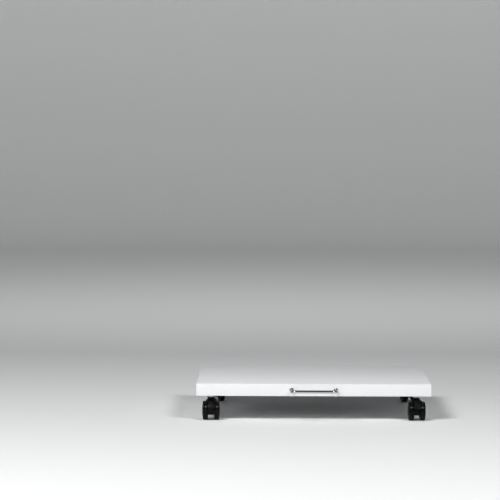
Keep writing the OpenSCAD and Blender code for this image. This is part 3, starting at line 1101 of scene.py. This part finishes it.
# %% Pedal, pin and bar
PEDAL_IN = 19.1
PEDAL_OUT = 21.6
PEDAL_REAR = 92
LIP_IN = PEDAL_IN + 0.3
LIP_FROM, LIP_TO = 12, 20
LIP_SHY = 0.1
LIP_OUT = 24.4
TONGUE_HALF = 3.4
BOSS_BAR_R = 2.2
GRIP_ANGLES = (26, 31, 36)
GRIP_R = 0.55
GRIP_SUNK = 0.15
GRIP_SHORT = 1.2
pivot_at = Vector((-pivot.y, pivot.z))
bar_at = Vector((-bar.y, bar.z))

cover = soften(arch(PEDAL_IN, PEDAL_OUT, -web_half, web_half, LIP_FROM, PEDAL_REAR), 0.6, sharper=50)
lip_half = web_half - 2 * HUNDREDTH
lip = arch(LIP_IN, LIP_OUT, -lip_half, lip_half, LIP_FROM + LIP_SHY, LIP_TO, steps=12)
soften(lip, 0.7, sharper=50)
tongue = plate([pivot_at + Vector((1.5, 2.1)), around_axle(20, 78), around_axle(20, 60), around_axle(20, 45),
                bar_at + Vector((1.4, -1.6)), bar_at + Vector((-1.2, -1.8)), pivot_at + Vector((-1, -2.3))],
               TONGUE_HALF)
grips = []
for angle in GRIP_ANGLES:
    ahead, up = around_axle(PEDAL_OUT - GRIP_SUNK, angle)
    grips.append(("UNION", cross_rod((0, -ahead, up), GRIP_R, web_half - GRIP_SHORT, steps=24)))
pedal = combined(cover, ("UNION", lip), ("UNION", tongue),
                 ("UNION", cross_rod(pivot, BARREL_R, TONGUE_HALF + 2 * HUNDREDTH)),
                 ("UNION", cross_rod(bar, BOSS_BAR_R, TONGUE_HALF + 3 * HUNDREDTH)), *grips,
                 ("DIFFERENCE", cross_rod(pivot, pin_r + RUNNING, 2 * web_half)),
                 ("DIFFERENCE", cross_rod(bar, bar_r + SLACK, 2 * web_half)))
pin = soften(cross_rod(pivot, pin_r, half("front_left_brake_pin").x), 0.2, segments=2)
brake_bar = soften(cross_rod(bar, bar_r, half("front_left_brake_bar").x), 0.3, segments=2)
print("pedal", len(pedal.faces), "faces")

# %% [markdown]
# The pedal and the bar ride on the brake's own body, and the pin stays with the fork. Which way a
# brake was left is read from its joint: a pedal that can only swing back is a pressed one.

# %% Both brakes
for corner in BRAKED:
    place = places[corner]
    pressed = joints[f"{corner}_brake_press"]["range_deg"][0] < 0
    for part, form, finish, slot in (("brake_pedal", pedal, "fork_nylon", "fork_nylon"),
                                     ("brake_bar", brake_bar, "zinc_plate", "zinc_steel")):
        set_form = moved(form.copy(), swung(pressed))
        publish(set_form, f"{corner}_{part}", f"{corner}_brake", finish, slot, place=place)
    publish(pin, f"{corner}_brake_pin", f"{corner}_caster", "zinc_plate", "zinc_steel", place=place)

# %% [markdown]
# ## Floor and background
#
# A product stands on a plain sweep: a pale floor that curves up into a wall with no line between
# them. This one is turned like a wide dish, so it looks the same from every side.

# %% Floor
DISH_R = 6500
DISH_CURVE = 1500
DISH_HEIGHT = 3200
DISH_THICK = 50
wall_r = DISH_R + DISH_CURVE
sweep = turned([(0, 0), (DISH_R / 2, 0), (DISH_R, 0),
                *arc(DISH_R, DISH_CURVE, DISH_CURVE, -90, 0, steps=24)[1:],
                (wall_r, DISH_HEIGHT), (wall_r + DISH_THICK, DISH_HEIGHT),
                (wall_r + DISH_THICK, -DISH_THICK), (0, -DISH_THICK)], steps=96)
bmesh.ops.transform(sweep, matrix=Matrix.Scale(MM, 4), verts=sweep.verts)
floor = as_object(sweep, "studio_floor")
floor.data.shade_smooth()
floor.data.set_sharp_from_angle(angle=math.radians(35))
studio = Finish("studio_floor")
speck = studio.noise(2.5, detail=3.0)
studio.paint(studio.blend(speck, grey(0.87), grey(0.89)), 0.55 + 0.1 * speck)
floor.data.materials.append(finishes["studio_floor"])

# %% [markdown]
# ## Light
#
# Two large softboxes hang high, one to the front left and a weaker one to the front right, so the
# board's top and front edge are bright and its shadow lies beneath and behind it. A low window
# lights the front edge and the casters from the side, and a wide light washes the wall. The sky is
# dim, so the shade stays dark, and a gamma below one deepens it a little more.

# %% Lights
scene = bpy.context.scene
world = bpy.data.worlds.new("sky")
world.use_nodes = True
sky = world.node_tree.nodes["Background"]
sky.inputs["Color"].default_value = (0.94, 0.97, 1.0, 1.0)
sky.inputs["Strength"].default_value = 0.12
scene.world = world
scene.view_settings.view_transform = "Standard"
scene.view_settings.gamma = 0.78


def soft_light(name, spot, aim, width, height, watts, color=(1.0, 1.0, 1.0)):
    """A rectangular area light that stands at a spot and faces a point."""
    lamp = bpy.data.lights.new(name, "AREA")
    lamp.shape = "RECTANGLE"
    lamp.size = width
    lamp.size_y = height
    lamp.energy = watts
    lamp.color = color
    made = bpy.data.objects.new(name, lamp)
    scene.collection.objects.link(made)
    made.location = spot
    made.rotation_euler = (Vector(aim) - Vector(spot)).to_track_quat("-Z", "Y").to_euler()
    print(name, watts, "W")


BOARD_MIDDLE = (0, 0, 0.06)
soft_light("low_window", (-2.3, -4.2, 0.75), BOARD_MIDDLE, 1.2, 0.6, 18)
soft_light("high_softbox", (-1.7, -2.3, 3.0), BOARD_MIDDLE, 1.6, 1.4, 112)
soft_light("right_softbox", (1.9, -2.4, 2.9), BOARD_MIDDLE, 1.2, 1.2, 72)
soft_light("wall_wash", (0, 1.5, 3.0), (0, 7.5, 2.6), 3.0, 1.0, 80)

# %% [markdown]
# ## Camera
#
# A long lens from five and a half metres, a little above the board, keeps the front edge almost
# square and shows the top as a thin sliver.

# %% Camera
camera = bpy.data.objects.new("camera", bpy.data.cameras.new("camera"))
camera.data.lens = 186.9
camera.data.sensor_width = 36.0
YAW, PITCH, ROLL = 0.463, 86.967, 0.16
camera.location = (-0.0884, -5.458, 0.6282)
yaw, pitch, roll = (Matrix.Rotation(math.radians(angle), 4, axis)
                    for angle, axis in ((YAW, "Z"), (PITCH, "X"), (ROLL, "Z")))
camera.rotation_euler = (yaw @ pitch @ roll).to_euler()
scene.collection.objects.link(camera)
scene.camera = camera
print("camera", round(camera.location.length, 2), "m from the stand")

# %% [markdown]
# ## Face count
#
# The faces of all the pieces are added up and printed.

# %% Finish
print(sum(face_counts), "faces in all")
